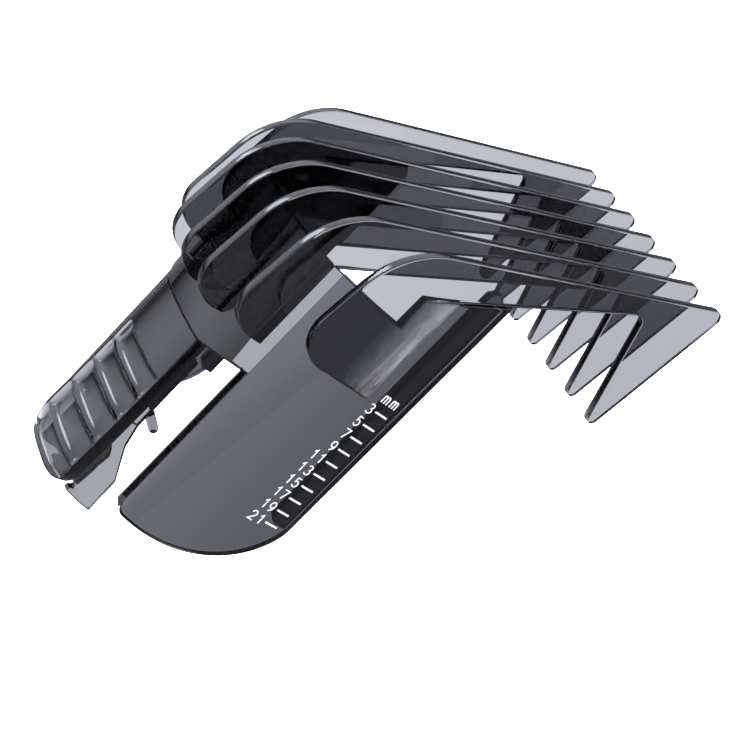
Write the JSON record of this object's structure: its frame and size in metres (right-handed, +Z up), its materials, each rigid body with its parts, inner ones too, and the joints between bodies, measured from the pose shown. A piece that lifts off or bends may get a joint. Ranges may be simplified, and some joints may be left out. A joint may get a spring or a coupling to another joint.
{
  "type": "hair clipper guide comb",
  "caption": "Clip-on adjustable guide comb for a hair clipper: a row of angled fins on a half-round sleeve with guide rails and a springy ridged thumb tongue that latches at each cut length.",
  "frame": {"origin": "centre of the bounding box's base, on the surface that the comb lies on", "axes": "+X from the sleeve's open end towards the comb tips, +Y across the comb away from the side with the length scale, +Z up. The comb lies on the sleeve's two front corners and its tooth points, so its slide axis rises 34 degrees towards +X"},
  "size_m": [0.087, 0.038, 0.0409],
  "materials": {
    "sleeve": "polished clear smoke-grey moulded plastic",
    "rails": "polished clear smoke-grey moulded plastic, solid rail",
    "fins": "polished clear smoke-grey moulded plastic, thin fin",
    "tongue": "polished clear smoke-grey moulded plastic, ridged grip",
    "underwork": "polished clear smoke-grey moulded plastic, thin rib",
    "print": "white pad-printed ink of the length scale"
  },
  "bodies": {
    "comb": {"back_arch": "sleeve", "side_plate_scale": "sleeve", "side_plate_plain": "sleeve", "guide_rail_scale": "rails", "guide_rail_plain": "rails", "comb_fin_1": "fins", "comb_fin_2": "fins", "comb_fin_3": "fins", "comb_fin_4": "fins", "comb_fin_5": "fins", "comb_fin_6": "fins", "comb_fin_7": "fins"},
    "tongue": {"thumb_tongue": "tongue", "tongue_rib_scale": "underwork", "tongue_rib_plain": "underwork", "latch_cheek_scale": "underwork", "latch_cheek_plain": "underwork", "locating_peg": "underwork"}
  },
  "joints": [
    {"name": "tongue_flex", "type": "hinge", "parent": "comb", "child": "tongue", "pos_m": [-0.02131, 0, 0.02519], "axis": [0, 1, 0], "range_deg": [-2, 6], "stiffness_Nm_per_rad": 1.2}
  ]
}
